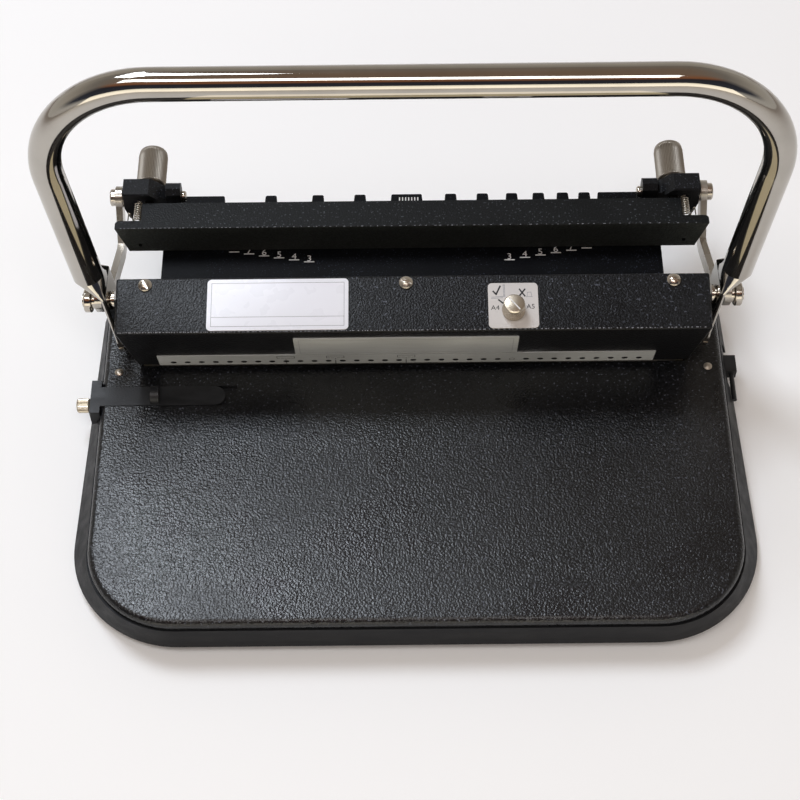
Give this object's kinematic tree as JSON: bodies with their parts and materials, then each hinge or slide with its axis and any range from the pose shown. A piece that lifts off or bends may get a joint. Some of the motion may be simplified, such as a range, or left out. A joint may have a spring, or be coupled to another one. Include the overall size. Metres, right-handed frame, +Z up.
{
  "type": "manual wire punch and binding machine",
  "caption": "Desk-top manual machine that punches round holes along a sheet's edge and closes binding wire, with a chrome bow handle, hooded punch, feed table and sliding jaw.",
  "frame": {"origin": "on the ground under the middle of the bounding box", "axes": "+X to the machine's right along its length, +Y from the feed table to the wire closer at the back, +Z up"},
  "size_m": [0.4138, 0.307, 0.2626],
  "materials": {
    "base_plastic": "smooth satin black moulding",
    "cover_steel": "plain black sheet",
    "foot_rubber": "matt black rubber",
    "table_paint": "fine-grained black textured paint",
    "cast_black": "black painted casting",
    "tool_steel": "ground tool steel",
    "zinc_steel": "bright zinc plate",
    "chrome": "bright chrome plate",
    "nickel": "satin nickel plate",
    "spring_steel": "drawn spring wire",
    "bronze": "pale brass",
    "plate_silver": "brushed silver plate",
    "plate_white": "gloss white label",
    "black_plastic": "black plastic"
  },
  "bodies": {
    "base": {"base_moulding": "base_plastic", "bottom_cover": "cover_steel", "closer_floor": "table_paint", "closer_riser_left": "table_paint", "closer_riser_right": "table_paint", "dial_plate": "plate_white", "die_block": "tool_steel", "guide_screws": "zinc_steel", "hood": "table_paint", "hood_screws": "nickel", "hood_tie_bar": "tool_steel", "info_plate": "plate_white", "nameplate": "plate_silver", "paper_stop": "tool_steel", "pivot_bush_left": "bronze", "pivot_bush_right": "bronze", "punch_guide": "tool_steel", "riser_screws": "zinc_steel", "rubber_feet": "foot_rubber", "scale_strip": "plate_silver", "side_frame_left": "tool_steel", "side_frame_right": "tool_steel", "table_plate": "table_paint", "table_screws": "zinc_steel"},
    "handle": {"handle_tube": "chrome", "crank_left": "tool_steel", "crank_right": "tool_steel", "link_pin_left": "chrome", "link_pin_right": "chrome"},
    "punch": {"punch_bar": "tool_steel", "punch_cap": "tool_steel", "punch_pins": "tool_steel", "yoke_left": "tool_steel", "yoke_right": "tool_steel"},
    "closer_carriage": {"closer_block_left": "cast_black", "closer_block_right": "cast_black", "lug_screw_left": "zinc_steel", "lug_screw_right": "zinc_steel", "block_pin_left": "chrome", "block_pin_right": "chrome", "jaw_spring_left": "spring_steel", "jaw_spring_right": "spring_steel"},
    "jaw": {"jaw_bar": "table_paint", "jaw_stud_left": "tool_steel", "jaw_stud_right": "tool_steel"},
    "knob_left": {"adjust_knob_left": "nickel"},
    "knob_right": {"adjust_knob_right": "nickel"},
    "link_left": {"link_left": "zinc_steel"},
    "link_right": {"link_right": "zinc_steel"},
    "selector": {"selector_knob": "nickel", "selector_shaft": "tool_steel"},
    "side_guide": {"side_guide": "black_plastic", "guide_stop": "black_plastic"},
    "thumbscrew": {"guide_thumbscrew": "bronze"},
    "chip_tray": {"chip_tray": "black_plastic", "tray_pull": "black_plastic"}
  },
  "joints": [
    {"name": "handle_swing", "type": "hinge", "parent": "base", "child": "handle", "pos_m": [0, 0.0382, 0.0485], "axis": [1, 0, 0], "range_deg": [0, 60]},
    {"name": "punch_slide", "type": "slide", "parent": "base", "child": "punch", "axis": [0, 0, -1], "range_m": [0, 0.008]},
    {"name": "closer_slide", "type": "slide", "parent": "base", "child": "closer_carriage", "axis": [0, -1, 0], "range_m": [0, 0.02759]},
    {"name": "link_left_swing", "type": "hinge", "parent": "closer_carriage", "child": "link_left", "pos_m": [-0.1792, 0.1182, 0.076], "axis": [1, 0, 0], "range_deg": [0, 11.88]},
    {"name": "link_right_swing", "type": "hinge", "parent": "closer_carriage", "child": "link_right", "pos_m": [0.1792, 0.1182, 0.076], "axis": [1, 0, 0], "range_deg": [0, 11.88]},
    {"name": "knob_left_turn", "type": "hinge", "parent": "closer_carriage", "child": "knob_left", "pos_m": [-0.1607, 0.1247, 0.0756], "axis": [0, 1, 0], "range_deg": [-360, 2160]},
    {"name": "knob_right_turn", "type": "hinge", "parent": "closer_carriage", "child": "knob_right", "pos_m": [0.1607, 0.1247, 0.0756], "axis": [0, 1, 0], "range_deg": [-360, 2160]},
    {"name": "jaw_adjust", "type": "slide", "parent": "closer_carriage", "child": "jaw", "axis": [0, -1, 0], "range_m": [-0.001, 0.006], "deforming": ["jaw_spring_left", "jaw_spring_right"]},
    {"name": "selector_turn", "type": "hinge", "parent": "base", "child": "selector", "pos_m": [0.058, 0.01734, 0.09097], "axis": [0, -0.1644, 0.9864], "range_deg": [-90, 0]},
    {"name": "guide_slide", "type": "slide", "parent": "base", "child": "side_guide", "axis": [1, 0, 0], "range_m": [-0.004, 0]},
    {"name": "thumbscrew_turn", "type": "hinge", "parent": "side_guide", "child": "thumbscrew", "pos_m": [-0.1938, 0.0005, 0.0225], "axis": [1, 0, 0], "range_deg": [-2057.2, 0]},
    {"name": "tray_slide", "type": "slide", "parent": "base", "child": "chip_tray", "axis": [1, 0, 0], "range_m": [0, 0.25]}
  ],
  "couplings": [
    {"joint": "punch_slide", "follows": "handle_swing", "m_per_rad": 0.007639},
    {"joint": "closer_slide", "follows": "handle_swing", "m_per_rad": 0.026349},
    {"joint": "link_left_swing", "follows": "handle_swing", "ratio": 0.19785},
    {"joint": "link_right_swing", "follows": "handle_swing", "ratio": 0.19785},
    {"joint": "knob_left_turn", "follows": "jaw_adjust", "rad_per_m": 6283.2},
    {"joint": "knob_right_turn", "follows": "jaw_adjust", "rad_per_m": 6283.2},
    {"joint": "thumbscrew_turn", "follows": "guide_slide", "rad_per_m": 8976}
  ]
}
